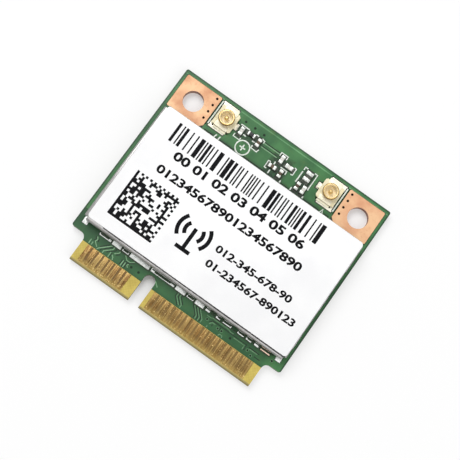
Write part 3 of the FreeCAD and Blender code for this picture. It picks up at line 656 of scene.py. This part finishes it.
def drawStrokes(strokes, width, height, base):
    # one point is extruded along each stroke, then the lines get a flat round section, half sunk in
    startFresh()
    pen = Vector((*strokes[0][0], base))
    bpy.ops.mesh.primitive_plane_add(size=width, location=pen)
    bpy.ops.object.transform_apply(location=True)
    editAll()
    bpy.ops.mesh.select_mode(type="VERT")
    bpy.ops.mesh.merge(type="CENTER")
    for stroke in strokes:
        points = [Vector((*point, base)) for point in stroke]
        bpy.ops.mesh.duplicate_move(TRANSFORM_OT_translate={"value": points[0] - pen})
        for start, end in zip(points, points[1:]):
            bpy.ops.mesh.extrude_vertices_move(TRANSFORM_OT_translate={"value": end - start})
        pen = points[-1]
    endEdit()
    bpy.ops.object.convert(target="CURVE")
    curve = bpy.context.object.data
    curve.bevel_depth = width / 2
    curve.bevel_resolution = 1
    curve.use_fill_caps = True
    bpy.ops.object.convert(target="MESH")
    editAll()
    bpy.ops.transform.resize(value=(1, 1, 2 * height / width), center_override=(0, 0, base))
    endEdit()
    return bpy.context.object


def drawOnCard(strokes, look, base):  # strokes in millimetres on the card, at a height in metres
    points = [[cardPoint(x, y).xy for x, y in stroke] for stroke in strokes]
    return drawStrokes(points, look["width"] * mm, look["height"] * mm, base)


def ringStroke(centreX, centreY, radius, steps=28, start=0.0, sweep=360.0):
    points = []
    for step in range(steps + 1):
        angle = math.radians(start + sweep * step / steps)
        points.append((centreX + radius * math.cos(angle), centreY + radius * math.sin(angle)))
    return points


def makeRing(radius, width, height):  # a small flat ring round the origin
    ring = [Vector(point) * mm for point in ringStroke(0, 0, radius, steps=12)]
    return drawStrokes([ring], width * mm, height * mm, 0)


def inkCells(corner, cellX, cellY, dark):
    # a grid on the label whose light cells are deleted and whose dark ones are raised
    startFresh()
    rows, columns = len(dark), len(dark[0])
    size = Vector((columns * cellX, rows * cellY, 0)) * mm
    middle = cardPoint(*corner, labelTop) + size / 2
    bpy.ops.mesh.primitive_grid_add(x_subdivisions=columns, y_subdivisions=rows, size=1, location=middle)
    piece = bpy.context.object
    piece.scale = (size.x, size.y, 1)
    bpy.ops.object.transform_apply(location=True, scale=True)
    editAll()
    bpy.ops.mesh.select_mode(type="FACE")
    endEdit()
    low = middle - size / 2
    for face in piece.data.polygons:
        column = int((face.center.x - low.x) / (cellX * mm))
        row = int((face.center.y - low.y) / (cellY * mm))
        face.select = not dark[row][column]
    bpy.ops.object.mode_set(mode="EDIT")
    bpy.ops.mesh.delete(type="FACE")
    bpy.ops.mesh.select_all(action="SELECT")
    bpy.ops.mesh.dissolve_limited(angle_limit=math.radians(1))
    bpy.ops.mesh.select_all(action="SELECT")
    raiseFaces(ink["height"])
    turnOutwards()
    return piece


def joinAll(pieces):
    startFresh()
    for piece in pieces:
        piece.select_set(True)
    bpy.context.view_layer.objects.active = pieces[0]
    bpy.ops.object.join()
    bpy.ops.object.transform_apply(location=True)
    return bpy.context.object


def copiesAt(piece, places):  # the piece stands at the origin and is copied to each place
    copies = []
    for place in places:
        startFresh()
        piece.select_set(True)
        bpy.context.view_layer.objects.active = piece
        bpy.ops.object.duplicate()
        bpy.context.object.location = place
        copies.append(bpy.context.object)
    bpy.data.objects.remove(piece)
    return joinAll(copies)


def makePlug(radius, depth, hollow, sides, rim=0.4):
    # a short round plug with its top face sunk inside a rim, whose width is a share of the radius
    startFresh()
    bpy.ops.mesh.primitive_circle_add(vertices=sides, radius=radius * mm, fill_type="NGON")
    editAll()
    raiseFaces(depth)
    bpy.ops.mesh.inset(thickness=radius * rim * mm, depth=-hollow * mm)
    turnOutwards()
    return bpy.context.object


# print on the label: bars, squares, plain numbers and a mast sign
ink = {"height": 0.006}
barcode = {
    "corner": (3.4, 17.95), "size": (21.25, 2.55), "modules": 118, "seed": 41,
    "bars": (1, 1, 1, 2, 3), "gaps": (1, 1, 2, 2, 3),  # widths to draw from, in modules
}


def makeBarcode():
    dice = random.Random(barcode["seed"])
    cells = []
    while len(cells) < barcode["modules"]:
        cells += [True] * dice.choice(barcode["bars"]) + [False] * dice.choice(barcode["gaps"])
    cells = cells[:barcode["modules"] - 1] + [True]
    module = barcode["size"][0] / barcode["modules"]
    return inkCells(barcode["corner"], module, barcode["size"][1], [cells])


finishPiece(makeBarcode(), "label_barcode", "black_ink")

squares = {"corner": (2.7, 6.8), "cell": 0.31, "count": 20, "seed": 12, "fill": 0.48}


def makeSquares():
    dice = random.Random(squares["seed"])
    count = squares["count"]
    rows = [[dice.random() < squares["fill"] for column in range(count)] for row in range(count)]
    for step in range(count):
        rows[step][0] = rows[0][step] = True
        rows[count - 1][step] = rows[step][count - 1] = step % 2 == 0
    return inkCells(squares["corner"], squares["cell"], squares["cell"], rows)


finishPiece(makeSquares(), "label_squares", "black_ink")

figures = {"weight": 0.035, "curveSteps": 3}
numberLines = [  # words, left, bottom and right end, height of the figures
    ("00 01 02 03 04 05 06", 5.05, 16.4, 23.7, 1.2),
    ("012345678901234567890", 4.3, 14.05, 24.95, 1.15),
    ("012-345-678-90", 15.45, 10.4, 26.15, 1.0),
    ("01-234567-890123", 15.45, 8.35, 28.0, 1.0),
]


def makeNumbers(words, left, bottom, right, height):
    startFresh()
    bpy.ops.object.text_add()
    text = bpy.context.object
    text.data.body = words
    text.data.offset = figures["weight"]
    text.data.resolution_u = figures["curveSteps"]
    bpy.ops.object.convert(target="MESH")
    piece = bpy.context.object
    corners = [Vector(corner) for corner in piece.bound_box]
    low = Vector(map(min, *corners))
    high = Vector(map(max, *corners))
    piece.scale = ((right - left) * mm / (high.x - low.x), height * mm / (high.y - low.y), 1)
    place = cardPoint(left, bottom, labelTop)
    piece.location = place - Vector((low.x * piece.scale.x, low.y * piece.scale.y, 0))
    bpy.ops.object.transform_apply(location=True, rotation=True, scale=True)
    editAll()
    bpy.ops.mesh.remove_doubles(threshold=1e-7)
    raiseFaces(ink["height"])
    turnOutwards()
    return piece


numbers = joinAll([makeNumbers(*line) for line in numberLines])
finishPiece(numbers, "label_numbers", "black_ink")

mastSign = {
    "foot": (12.3, 8.4), "top": 11.3, "arm": 1.0, "width": 0.48, "height": ink["height"],
    "waves": (1.15, 2.05), "waveDrop": 0.5, "spread": 40.0,
}


def makeMastSign():
    x, y = mastSign["foot"]
    top, arm, spread = mastSign["top"], mastSign["arm"], mastSign["spread"]
    waveY = top - mastSign["waveDrop"]
    strokes = [[(x, y), (x, top)], [(x - arm, y), (x + arm, y)]]
    for radius in mastSign["waves"]:
        for side in (0.0, 180.0):
            strokes.append(ringStroke(x, waveY, radius, steps=10, start=side - spread, sweep=2 * spread))
    return drawOnCard(strokes, mastSign, labelTop)


finishPiece(makeMastSign(), "label_mast_sign", "black_ink")
print("label printed")

# white print on the board
boardPrint = {
    "width": 0.16, "height": 0.012,
    "strokes": [
        [(5.84, 22.75), (5.84, 26.1)], [(24.16, 22.75), (24.16, 26.1)],
        [(7.38, 21.72), (7.55, 22.25)], [(8.06, 22.28), (7.98, 21.72)],
        [(22.92, 21.72), (23.1, 22.3), (23.28, 21.72)],
        [(9.2, 25.05), (10.4, 25.05)], [(9.2, 23.7), (9.2, 23.3), (10.1, 23.3), (10.1, 23.6)],
        [(10.1, 24.12), (10.5, 24.12)], [(11.4, 24.12), (11.8, 24.12)], [(11.4, 25.05), (11.8, 25.05)],
        [(12.3, 25.05), (12.7, 24.95), (12.72, 24.65)],
        [(11.75, 23.7), (11.8, 23.35), (12.6, 23.3), (12.7, 23.7)],
        [(15.15, 24.6), (15.15, 25.07), (16.1, 25.07), (16.1, 24.6)],
        [(15.17, 23.3), (15.17, 23.7)], [(15.17, 22.0), (15.17, 22.5)],
        [(17.5, 24.45), (17.75, 24.4), (17.75, 23.55), (17.5, 23.5)],
        [(16.05, 23.5), (16.95, 23.5), (16.97, 23.05)], [(16.97, 22.2), (16.97, 21.9)],
        [(14.7, 23.35), (14.4, 23.35), (14.4, 22.4), (14.7, 22.4)],
        [(18.9, 25.3), (18.5, 25.3), (18.5, 24.9)], [(18.5, 24.7), (18.5, 23.1)],
        [(18.5, 22.3), (18.5, 21.9)],
        [(19.85, 25.3), (20.25, 25.3), (20.25, 23.1)], [(20.25, 22.2), (20.25, 21.9)],
    ],
    "ring": (10.95, 22.75, 0.89), "cross": 0.42,
}


def makeBoardPrint():
    x, y, radius = boardPrint["ring"]
    arm = boardPrint["cross"]
    strokes = boardPrint["strokes"] + [ringStroke(x, y, radius)]
    strokes += [[(x - arm, y), (x + arm, y)], [(x, y - arm), (x, y + arm)]]
    return drawOnCard(strokes, boardPrint, maskTop)


finishPiece(makeBoardPrint(), "board_print", "white_ink")

# copper lines under the lacquer, the dark gaps beside them, a painted shadow line behind the shield, and
# closed holes
traces = {
    "width": 0.12, "height": 0.014,
    "strokes": [
        [(2.9, 2.78), (2.9, 3.35)], [(3.25, 2.78), (3.25, 3.2)],
        [(3.35, 4.0), (3.55, 3.7), (3.42, 3.4), (3.95, 2.95)],
        [(4.08, 2.75), (4.2, 2.95), (5.4, 4.08)],
        [(4.88, 2.75), (4.88, 3.05), (5.72, 3.82), (5.72, 4.15)],
        [(5.68, 2.75), (5.68, 3.42)], [(6.32, 2.75), (6.2, 3.05), (5.98, 3.25)],
        [(6.1, 3.5), (6.55, 3.88), (6.55, 4.15)],
        [(7.45, 2.75), (7.45, 3.5)], [(7.78, 2.8), (7.78, 3.4)], [(8.3, 3.05), (8.08, 3.25), (8.2, 3.45)],
        [(7.3, 4.1), (7.75, 3.72), (8.2, 3.72), (8.65, 4.05)], [(11.95, 3.65), (12.5, 3.2)],
        [(14.95, 4.12), (14.95, 3.72), (15.72, 2.98)],
        [(15.3, 4.12), (15.3, 3.85), (16.0, 3.15), (16.0, 2.78)],
        [(17.3, 4.08), (18.15, 3.2), (18.15, 2.78)], [(17.72, 4.08), (18.55, 3.22), (18.55, 2.78)],
        [(18.1, 4.08), (18.95, 3.2), (18.95, 2.78)],
        [(19.15, 3.98), (19.7, 3.98), (19.9, 4.08), (22.2, 4.08), (22.5, 3.96), (22.95, 3.96)],
        [(19.9, 3.3), (20.15, 3.62), (20.6, 3.62)], [(23.2, 3.62), (24.75, 3.62), (24.75, 3.1)],
        [(19.85, 2.75), (19.85, 3.0)], [(21.5, 2.75), (21.65, 3.0), (21.95, 3.0), (22.05, 2.75)],
        [(25.5, 3.62), (26.6, 3.62)], [(12.7, 24.74), (15.0, 24.74)], [(12.7, 24.18), (15.0, 24.18)],
    ],
}
traceGapsAndShadow = {
    "width": 0.12, "height": 0.007,
    "strokes": [
        [(3.2, 3.95), (3.35, 3.6), (3.2, 3.4)], [(3.65, 3.85), (3.75, 3.5)],
        [(4.5, 2.8), (4.5, 3.0), (5.55, 3.98)], [(4.25, 3.2), (5.1, 4.05)],
        [(5.2, 3.1), (6.05, 3.85), (6.05, 4.15)], [(5.85, 2.8), (5.85, 3.4)], [(6.35, 3.45), (6.75, 3.8)],
        [(7.28, 2.8), (7.28, 3.5)], [(7.62, 2.8), (7.62, 3.55)], [(7.95, 2.8), (7.95, 3.45)],
        [(7.75, 3.55), (8.2, 3.55), (8.75, 3.95)], [(14.78, 4.1), (14.78, 3.65), (15.6, 2.85)],
        [(15.12, 4.1), (15.12, 3.8), (15.86, 3.08)], [(15.5, 4.1), (15.5, 3.9), (16.15, 3.25)],
        [(17.1, 4.08), (17.95, 3.2), (17.95, 2.8)], [(17.5, 4.08), (18.35, 3.2), (18.35, 2.8)],
        [(17.92, 4.08), (18.75, 3.22), (18.75, 2.8)],
        [(19.8, 3.5), (20.1, 3.82), (24.95, 3.82), (24.95, 3.1)], [(20.3, 3.45), (20.3, 3.2)],
        [(21.3, 3.7), (21.3, 3.2)], [(25.3, 3.75), (26.8, 3.75)], [(26.4, 3.2), (27.2, 3.2)],
        [(12.7, 24.88), (15.0, 24.88)], [(12.7, 24.32), (15.0, 24.32)],
        # the level strokes at 21.93 along the label's back edge are a painted shadow of the shield
        [(5.9, 21.93), (7.2, 21.93)], [(8.25, 21.93), (10.3, 21.93)], [(11.6, 21.93), (14.9, 21.93)],
        [(17.2, 21.93), (18.3, 21.93)], [(20.5, 21.93), (22.7, 21.93)], [(23.5, 21.93), (24.2, 21.93)],
    ],
}
closedHoles = {
    "radius": 0.16, "ring": 0.07, "height": 0.014,
    "ringed": [(19.42, 3.6), (21.05, 3.42), (21.6, 3.42), (25.35, 3.38), (26.0, 3.05), (28.4, 4.0)],
    "plain": [(9.5, 25.6), (10.85, 25.6), (12.2, 25.55), (8.65, 3.35), (9.7, 3.35), (22.9, 3.32)],
}


def makeHoleRings():
    ring = makeRing(closedHoles["radius"], closedHoles["ring"], closedHoles["height"])
    return copiesAt(ring, [cardPoint(x, y, maskTop) for x, y in closedHoles["ringed"]])


def makeHolePlugs():
    plug = makePlug(closedHoles["radius"], closedHoles["height"] / 2, closedHoles["height"] / 6, sides=12)
    holes = closedHoles["ringed"] + closedHoles["plain"]
    return copiesAt(plug, [cardPoint(x, y, maskTop) for x, y in holes])


# dark strokes along the shield's foot and between its lands: painted shade of the gap under the skirt and
# round the lands
footShade = {
    "width": 0.15, "height": 0.012, "tickLow": 4.2, "tickHigh": 4.66,
    "ticks": [5.06, 6.5, 7.6, 14.15, 15.75, 16.95, 18.48],
    "runs": {  # left and right ends of level strokes, by their place from the contact edge
        4.62: [(6.55, 7.5), (10.8, 14.1), (15.85, 16.9), (18.6, 22.4), (23.1, 28.2)],
        4.52: [(26.4, 27.9)],
        4.5: [(3.4, 4.6), (20.3, 21.0), (21.0, 22.2), (23.3, 24.3), (24.6, 25.4)],
        4.48: [(6.7, 7.4), (11.2, 13.5), (16.0, 16.8)],
        4.4: [(19.4, 20.0)],
        4.24: [(20.0, 22.4), (23.2, 25.2), (26.4, 27.9)],
        4.21: [(13.0, 14.15)],
        4.17: [(5.1, 10.5), (14.2, 15.7), (17.0, 18.45)],
    },
    "strokes": [[(3.3, 4.66), (5.05, 4.64)], [(10.58, 4.2), (10.58, 4.62)], [(22.4, 4.4), (23.1, 4.32)],
                [(25.5, 4.3), (25.5, 4.6)], [(26.3, 4.3), (26.3, 4.6)]],
}


def makeFootShade():
    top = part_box("shield_solder")[1].z
    strokes = footShade["strokes"] + [[(x, footShade["tickLow"]), (x, footShade["tickHigh"])] for x in footShade["ticks"]]
    for y, runs in footShade["runs"].items():
        strokes += [[(left, y), (right, y)] for left, right in runs]
    return drawOnCard(strokes, footShade, top)


# dark strokes between each jack and the print beside it, and beside each jack's tail: painted shade of the
# gaps there
jackSideShade = {
    "width": 0.13, "height": 0.024,
    "strokes": [[(6.0, 22.75), (6.0, 26.1)], [(5.66, 22.45), (5.66, 26.2)], [(8.74, 24.92), (8.76, 25.1)],
                [(8.72, 23.72), (8.74, 23.9)]],  # at the left jack, and mirrored at the right one
}


def makeJackSideShade():
    cardWidth = (boardHigh.x - boardLow.x) / mm
    mirrored = [[(cardWidth - x, y) for x, y in stroke] for stroke in jackSideShade["strokes"]]
    return drawOnCard(jackSideShade["strokes"] + mirrored, jackSideShade, maskTop)


# dark dots at the ends of each jack's front strap: painted shade of the gaps beside the strap
jackStrapShade = {
    "radius": 0.11, "depth": 0.03,
    "places": [(6.38, 22.97), (8.42, 23.0), (23.57, 22.95), (21.62, 22.97)],
}


def makeJackStrapShade():
    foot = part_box("left_jack_base")[0].z
    pit = makePlug(jackStrapShade["radius"], jackStrapShade["depth"], jackStrapShade["depth"] / 2, sides=10)
    return copiesAt(pit, [cardPoint(x, y, foot) for x, y in jackStrapShade["places"]])


# resin that closes the plated holes a little below the copper
viaPlugs = {
    "radius": 0.125, "drop": 0.03, "depth": 0.2, "hollow": 0.03,
    "count": 4, "fromSide": 0.5, "fromBack": 0.45, "pitch": 0.95,
    "ringRadius": 0.14, "ringWidth": 0.05, "ringHeight": 0.006,
}


def viaPlaces(drop):
    places = []
    for side in ("left", "right"):
        low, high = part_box(side + "_ground_pad_top")
        x = high.x - viaPlugs["fromSide"] * mm if side == "left" else low.x + viaPlugs["fromSide"] * mm
        for step in range(viaPlugs["count"]):
            y = high.y - (viaPlugs["fromBack"] + step * viaPlugs["pitch"]) * mm
            places.append((x, y, high.z - drop * mm))
    return places


def makeViaPlugs():
    plug = makePlug(viaPlugs["radius"], viaPlugs["depth"], viaPlugs["hollow"], sides=8)
    return copiesAt(plug, viaPlaces(viaPlugs["drop"] + viaPlugs["depth"]))


def makeViaRings():
    ring = makeRing(viaPlugs["ringRadius"], viaPlugs["ringWidth"], viaPlugs["ringHeight"])
    return copiesAt(ring, viaPlaces(0.0))


lineKinds = [(traces, "mask_traces", "trace_lacquer"), (traceGapsAndShadow, "mask_trace_gaps_and_shadow", "gap_and_shadow_lacquer")]
for look, name, finish in lineKinds:
    finishPiece(drawOnCard(look["strokes"], look, maskTop), name, finish)
finishPiece(makeHoleRings(), "mask_hole_rings", "trace_lacquer")
finishPiece(makeHolePlugs(), "mask_hole_plugs", "via_lacquer_and_shade")
finishPiece(makeFootShade(), "shield_foot_shade", "foot_shade")
finishPiece(makeJackSideShade(), "jack_side_shade", "via_lacquer_and_shade")
finishPiece(makeJackStrapShade(), "jack_strap_shade", "via_resin_and_shade")
finishPiece(makeViaPlugs(), "via_plugs", "via_resin_and_shade")
finishPiece(makeViaRings(), "via_rings", "via_resin_and_shade")
print("board printed")


# pieces with softened edges stand for their plain solids
softEdges = {  # millimetres of rounding
    "shield_cover": 0.03, "label": 0.015, "left_jack_base": 0.04, "right_jack_base": 0.04,
    "left_jack_shell": 0.025, "right_jack_shell": 0.025, "left_jack_pin": 0.03, "right_jack_pin": 0.03,
    "chip_capacitors": 0.03, "chip_inductors": 0.03, "chip_resistor": 0.02, "band_filter": 0.03,
    "chip_end_caps": 0.018, "chip_solder": 0.03, "jack_solder": 0.03, "shield_solder": 0.02,
    "short_contacts_top": 0.015, "long_contacts_top": 0.015,
}


def softenedCopy(nodeName, edge):
    startFresh()
    nodes[nodeName].select_set(True)
    bpy.context.view_layer.objects.active = nodes[nodeName]
    bpy.ops.object.duplicate()
    piece = bpy.context.object
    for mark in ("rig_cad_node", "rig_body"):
        del piece[mark]
    editAll()
    bpy.ops.mesh.remove_doubles(threshold=1e-6)
    bpy.ops.mesh.dissolve_limited(angle_limit=math.radians(1))
    endEdit()
    bpy.ops.object.shade_smooth()
    bevel = piece.modifiers.new("edges", "BEVEL")
    bevel.width = edge * mm
    bevel.segments = 2
    bevel.limit_method = "ANGLE"
    bevel.angle_limit = math.radians(40)
    bevel.harden_normals = True
    bpy.ops.object.modifier_apply(modifier="edges")
    piece.name = nodeName + "_soft"
    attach(piece, "root")
    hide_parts(nodeName)


for nodeName, edge in softEdges.items():
    softenedCopy(nodeName, edge)
print("edges softened,", len(softEdges))

# floor, light and camera
stage = {
    "floorSize": 2.0, "floorDrop": 0.00005, "floorColour": (0.97, 0.97, 0.97, 1), "floorGlow": 0.6,
    "slotShade": 1.0, "slotEnd": 3.3, "holeShade": 0.5,
    "worldLight": 0.45, "horizon": 0.3, "roomTop": 0.75,
}


def shownRays(shade):  # rays that meet the backdrop straight, in a mirror or through glass
    kinds = ("Is Camera Ray", "Is Glossy Ray", "Is Transmission Ray")
    return [shade.node("LightPath", output=kind) for kind in kinds]


def makeFloor():
    startFresh()
    floorHeight = cadBox[0].z - stage["floorDrop"]
    bpy.ops.mesh.primitive_plane_add(size=stage["floorSize"], location=(0, 0, floorHeight))
    floor = bpy.context.object
    floor.name = "floor"
    material, shade = newFinish("pale_floor")
    # the glow fades in the key slot and the screw holes, so they keep their shadow
    x, y = axesOf(shade, objectPlace(shade))[:2]
    inSlot = within(x, shortHigh.x, longLow.x) * (y < 0)
    inSlot = inSlot * contrast(shade, y, boardLow.y, cardY(stage["slotEnd"]))
    inHole = nearAxis(x, y, holeX, holeY, 2 * holeRadius)
    shaded = inSlot * stage["slotShade"] + inHole * stage["holeShade"]
    seen, mirrored, through = shownRays(shade)
    share = (seen + mirrored + through) * stage["floorGlow"] * (1 - shaded)
    matt = shade.node("BsdfDiffuse", None, {"Color": stage["floorColour"]})
    glow = shade.node("Emission", None, {"Color": (1, 1, 1, 1), "Strength": 1.0})
    surface = shade.node("MixShader", None, {0: share, 1: matt, 2: glow})
    shade.node("OutputMaterial", None, {"Surface": surface})
    floor.data.materials.append(material)


def makeWorld():
    world = bpy.data.worlds.new("studio")
    bpy.context.scene.world = world
    world.use_nodes = True
    world.node_tree.nodes.clear()
    shade = Shade(world.node_tree)
    seen, mirrored, through = shownRays(shade)
    shown = shade.maths("MINIMUM", seen + mirrored + through, 1.0)
    # metal sees the room darken towards the horizon
    height = axesOf(shade, shade.node("TexCoord", output="Generated"))[2]
    room = stage["horizon"] + (1 - stage["horizon"]) * contrast(shade, height, 0.0, stage["roomTop"])
    strength = seen + through + mirrored * room + (1 - shown) * stage["worldLight"]
    surface = shade.node("Background", None, {"Color": (1, 1, 1, 1), "Strength": strength})
    shade.node("OutputWorld", None, {"Surface": surface})


lamps = [  # name, place in metres, size in metres, watts
    ("key", (-0.22, 0.16, 0.42), 0.30, 1.45),
    ("fill", (0.30, -0.10, 0.34), 0.36, 0.50),
]


def makeLamps():
    for name, place, size, watts in lamps:
        startFresh()
        bpy.ops.object.light_add(type="AREA", location=place)
        lamp = bpy.context.object
        lamp.name = name
        lamp.data.size = size
        lamp.data.energy = watts
        lamp.rotation_euler = (-Vector(place)).to_track_quat("-Z", "Y").to_euler()


# the photograph's view: turn round the card, height, tilt of the frame and distance
cameraView = {
    "azimuth": 10.72, "elevation": 81.41, "roll": 24.88, "distance": 126.95, "focusPixels": 1071.5,
    "sensor": 36.0, "imagePixels": 460, "shiftPixels": (5.19, -0.13), "aimHeight": 1.0,
}


def makeCamera():
    azimuth, elevation, roll = [math.radians(cameraView[key]) for key in ("azimuth", "elevation", "roll")]
    back = Vector((math.sin(azimuth) * math.cos(elevation), -math.cos(azimuth) * math.cos(elevation),
                   math.sin(elevation)))
    right = Vector((math.cos(azimuth), math.sin(azimuth), 0))
    up = right.cross(-back)
    turnedRight = math.cos(roll) * right + math.sin(roll) * up
    turnedUp = math.cos(roll) * up - math.sin(roll) * right
    bpy.ops.object.camera_add()
    camera = bpy.context.object
    place = Vector((0, 0, cameraView["aimHeight"] * mm)) + back * cameraView["distance"] * mm
    turn = Matrix((turnedRight, turnedUp, back)).transposed()
    camera.matrix_world = Matrix.Translation(place) @ turn.to_4x4()
    camera.data.sensor_width = cameraView["sensor"]
    camera.data.lens = cameraView["sensor"] * cameraView["focusPixels"] / cameraView["imagePixels"]
    shifts = [shift / cameraView["imagePixels"] for shift in cameraView["shiftPixels"]]
    camera.data.shift_x, camera.data.shift_y = shifts
    camera.data.clip_start = 0.01
    camera.data.clip_end = 10
    bpy.context.scene.camera = camera


makeFloor()
makeWorld()
makeLamps()
makeCamera()
bpy.context.scene.view_settings.view_transform = "Standard"
print("stage set")
